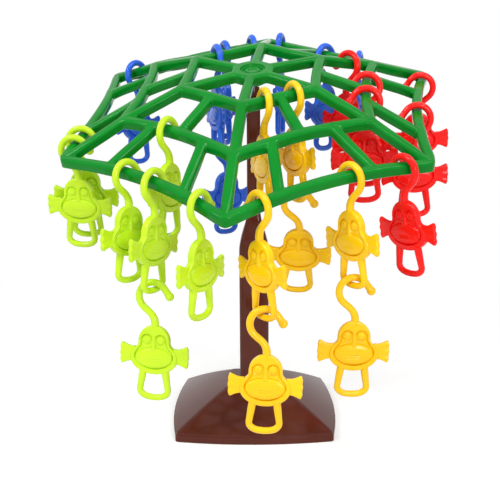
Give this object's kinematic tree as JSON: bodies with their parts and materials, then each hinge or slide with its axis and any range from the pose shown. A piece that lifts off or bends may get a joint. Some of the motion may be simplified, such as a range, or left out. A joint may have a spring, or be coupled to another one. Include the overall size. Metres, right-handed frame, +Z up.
{
  "type": "balancing game",
  "caption": "Balancing game: hooked, ring-tailed monkeys hang on an open umbrella crown that tips and turns on a ball-headed pin atop a trunk with a domed square foot.",
  "frame": {"origin": "middle of the underside of the foot", "axes": "+Z up along the trunk, -Y towards the front corner of the crown"},
  "size_m": [0.2614, 0.2365, 0.2516],
  "materials": {
    "green_plastic": "glossy",
    "brown_plastic": "glossy",
    "pin_metal": "polished",
    "lime_plastic": "glossy",
    "yellow_plastic": "glossy",
    "red_plastic": "glossy",
    "blue_plastic": "glossy"
  },
  "bodies": {
    "stand": {"base": "brown_plastic", "trunk": "brown_plastic"},
    "pin": {"pivot_pin": "pin_metal"},
    "cup": {"pivot_cup": "green_plastic"},
    "crown": {"crown": "green_plastic"},
    "blue_monkey_1": {"blue_monkey_1": "blue_plastic"},
    "blue_monkey_2": {"blue_monkey_2": "blue_plastic"},
    "blue_monkey_3": {"blue_monkey_3": "blue_plastic"},
    "blue_monkey_4": {"blue_monkey_4": "blue_plastic"},
    "blue_monkey_5": {"blue_monkey_5": "blue_plastic"},
    "blue_monkey_6": {"blue_monkey_6": "blue_plastic"},
    "blue_monkey_7": {"blue_monkey_7": "blue_plastic"},
    "blue_monkey_8": {"blue_monkey_8": "blue_plastic"},
    "lime_monkey_1": {"lime_monkey_1": "lime_plastic"},
    "lime_monkey_2": {"lime_monkey_2": "lime_plastic"},
    "lime_monkey_3": {"lime_monkey_3": "lime_plastic"},
    "lime_monkey_4": {"lime_monkey_4": "lime_plastic"},
    "lime_monkey_5": {"lime_monkey_5": "lime_plastic"},
    "lime_monkey_6": {"lime_monkey_6": "lime_plastic"},
    "lime_monkey_7": {"lime_monkey_7": "lime_plastic"},
    "red_monkey_1": {"red_monkey_1": "red_plastic"},
    "red_monkey_2": {"red_monkey_2": "red_plastic"},
    "red_monkey_3": {"red_monkey_3": "red_plastic"},
    "red_monkey_4": {"red_monkey_4": "red_plastic"},
    "red_monkey_5": {"red_monkey_5": "red_plastic"},
    "red_monkey_6": {"red_monkey_6": "red_plastic"},
    "yellow_monkey_1": {"yellow_monkey_1": "yellow_plastic"},
    "yellow_monkey_2": {"yellow_monkey_2": "yellow_plastic"},
    "yellow_monkey_3": {"yellow_monkey_3": "yellow_plastic"},
    "yellow_monkey_4": {"yellow_monkey_4": "yellow_plastic"},
    "yellow_monkey_5": {"yellow_monkey_5": "yellow_plastic"},
    "yellow_monkey_6": {"yellow_monkey_6": "yellow_plastic"},
    "yellow_monkey_7": {"yellow_monkey_7": "yellow_plastic"}
  },
  "joints": [
    {"name": "lean_direction", "type": "hinge", "parent": "stand", "child": "pin", "pos_m": [0, 0, 0.21787], "axis": [0, 0, 1], "continuous": true},
    {"name": "crown_tip", "type": "hinge", "parent": "pin", "child": "cup", "pos_m": [0, 0, 0.21787], "axis": [-0.9899, 0.1417, 0], "range_deg": [0, 23.05]},
    {"name": "crown_turn", "type": "hinge", "parent": "cup", "child": "crown", "pos_m": [0, 0, 0.21787], "axis": [-0.0555, -0.3875, 0.9202], "range_deg": [-30, 60]},
    {"name": "blue_monkey_1_swing", "type": "hinge", "parent": "crown", "child": "blue_monkey_1", "pos_m": [-0.08156, 0.06573, 0.2251], "axis": [-0.7771, 0.6293, 0], "range_deg": [-20, 20]},
    {"name": "blue_monkey_2_swing", "type": "hinge", "parent": "crown", "child": "blue_monkey_2", "pos_m": [-0.0241, 0.02911, 0.23446], "axis": [-0.9397, -0.342, 0], "range_deg": [-20, 20]},
    {"name": "blue_monkey_3_swing", "type": "hinge", "parent": "crown", "child": "blue_monkey_3", "pos_m": [-0.01989, 0.06448, 0.23822], "axis": [-0.9397, -0.342, 0], "range_deg": [-20, 20]},
    {"name": "blue_monkey_4_swing", "type": "hinge", "parent": "crown", "child": "blue_monkey_4", "pos_m": [-0.0011, 0.0729, 0.24233], "axis": [-0.9659, -0.2588, 0], "range_deg": [-20, 20]},
    {"name": "blue_monkey_5_swing", "type": "hinge", "parent": "crown", "child": "blue_monkey_5", "pos_m": [0.01935, 0.07177, 0.24294], "axis": [-0.9703, 0.2419, 0], "range_deg": [-20, 20]},
    {"name": "blue_monkey_6_swing", "type": "hinge", "parent": "crown", "child": "blue_monkey_6", "pos_m": [0.04889, 0.04779, 0.23533], "axis": [-0.7314, 0.682, 0], "range_deg": [-12, 20]},
    {"name": "blue_monkey_7_swing", "type": "hinge", "parent": "crown", "child": "blue_monkey_7", "pos_m": [0.07488, 0.07202, 0.23118], "axis": [-0.9659, 0.2588, 0], "range_deg": [-20, 20]},
    {"name": "blue_monkey_8_swing", "type": "hinge", "parent": "blue_monkey_3", "child": "blue_monkey_8", "pos_m": [-0.01967, 0.06386, 0.17651], "axis": [-0.6157, 0.788, 0], "range_deg": [-20, 20]},
    {"name": "lime_monkey_1_swing", "type": "hinge", "parent": "crown", "child": "lime_monkey_1", "pos_m": [-0.10948, -0.02047, 0.17921], "axis": [0.172, 0.9752, 0.1392], "range_deg": [-20, 20]},
    {"name": "lime_monkey_2_swing", "type": "hinge", "parent": "crown", "child": "lime_monkey_2", "pos_m": [-0.10654, -0.01132, 0.18407], "axis": [0.0691, 0.9879, 0.1392], "range_deg": [-20, 20]},
    {"name": "lime_monkey_3_swing", "type": "hinge", "parent": "crown", "child": "lime_monkey_3", "pos_m": [-0.07237, -0.05687, 0.16803], "axis": [-0.766, 0.6428, 0], "range_deg": [-20, 20]},
    {"name": "lime_monkey_4_swing", "type": "hinge", "parent": "crown", "child": "lime_monkey_4", "pos_m": [-0.05567, -0.06878, 0.16418], "axis": [-0.8382, 0.5443, 0.0349], "range_deg": [-20, 20]},
    {"name": "lime_monkey_5_swing", "type": "hinge", "parent": "crown", "child": "lime_monkey_5", "pos_m": [-0.04969, -0.04284, 0.1912], "axis": [-0.8746, 0.4848, 0], "range_deg": [-20, 0]},
    {"name": "lime_monkey_6_swing", "type": "hinge", "parent": "crown", "child": "lime_monkey_6", "pos_m": [-0.02879, -0.09142, 0.15466], "axis": [-0.8387, 0.5446, 0], "range_deg": [-8, 20]},
    {"name": "lime_monkey_7_swing", "type": "hinge", "parent": "lime_monkey_4", "child": "lime_monkey_7", "pos_m": [-0.05783, -0.06816, 0.10249], "axis": [0.2078, 0.9776, -0.0349], "range_deg": [-20, 20]},
    {"name": "red_monkey_1_swing", "type": "hinge", "parent": "crown", "child": "red_monkey_1", "pos_m": [0.08359, -0.06683, 0.17152], "axis": [-0.7803, -0.6097, -0.1392], "range_deg": [-20, 20]},
    {"name": "red_monkey_2_swing", "type": "hinge", "parent": "crown", "child": "red_monkey_2", "pos_m": [0.10073, -0.01194, 0.19756], "axis": [-0.0523, -0.9973, -0.0523], "range_deg": [-20, 20]},
    {"name": "red_monkey_3_swing", "type": "hinge", "parent": "crown", "child": "red_monkey_3", "pos_m": [0.1112, 0.03512, 0.21612], "axis": [-0.1029, -0.9794, -0.1736], "range_deg": [-20, 20]},
    {"name": "red_monkey_4_swing", "type": "hinge", "parent": "crown", "child": "red_monkey_4", "pos_m": [0.0705, -0.00115, 0.21602], "axis": [-0.0523, -0.9986, 0], "range_deg": [-20, 20]},
    {"name": "red_monkey_5_swing", "type": "hinge", "parent": "crown", "child": "red_monkey_5", "pos_m": [0.06807, -0.01954, 0.20805], "axis": [-0.1043, -0.9921, -0.0698], "range_deg": [-20, 20]},
    {"name": "red_monkey_6_swing", "type": "hinge", "parent": "crown", "child": "red_monkey_6", "pos_m": [0.06119, 0.02229, 0.23016], "axis": [-0.7431, -0.6691, 0], "range_deg": [-4, 8]},
    {"name": "yellow_monkey_1_swing", "type": "hinge", "parent": "crown", "child": "yellow_monkey_1", "pos_m": [0.00259, -0.09545, 0.15492], "axis": [-0.8075, -0.5867, -0.061], "range_deg": [-4, 20]},
    {"name": "yellow_monkey_2_swing", "type": "hinge", "parent": "crown", "child": "yellow_monkey_2", "pos_m": [0.05316, -0.07502, 0.16796], "axis": [-0.7971, -0.6007, -0.061], "range_deg": [-20, 20]},
    {"name": "yellow_monkey_3_swing", "type": "hinge", "parent": "crown", "child": "yellow_monkey_3", "pos_m": [0.0063, -0.03943, 0.20743], "axis": [-0.9397, -0.342, 0], "range_deg": [-20, 8]},
    {"name": "yellow_monkey_4_swing", "type": "hinge", "parent": "crown", "child": "yellow_monkey_4", "pos_m": [0.02351, -0.03324, 0.21108], "axis": [-0.8817, -0.4688, -0.0523], "range_deg": [-4, 12]},
    {"name": "yellow_monkey_5_swing", "type": "hinge", "parent": "yellow_monkey_1", "child": "yellow_monkey_5", "pos_m": [0.00602, -0.09377, 0.09339], "axis": [0.0696, 0.9951, -0.0698], "range_deg": [-20, 20]},
    {"name": "yellow_monkey_6_swing", "type": "hinge", "parent": "yellow_monkey_2", "child": "yellow_monkey_6", "pos_m": [0.05658, -0.07328, 0.10616], "axis": [-0.0349, 0.9988, -0.0349], "range_deg": [-20, 20]},
    {"name": "yellow_monkey_7_swing", "type": "hinge", "parent": "yellow_monkey_4", "child": "yellow_monkey_7", "pos_m": [0.02667, -0.0323, 0.14931], "axis": [0.0667, 0.954, 0.2924], "range_deg": [-20, 20]}
  ]
}
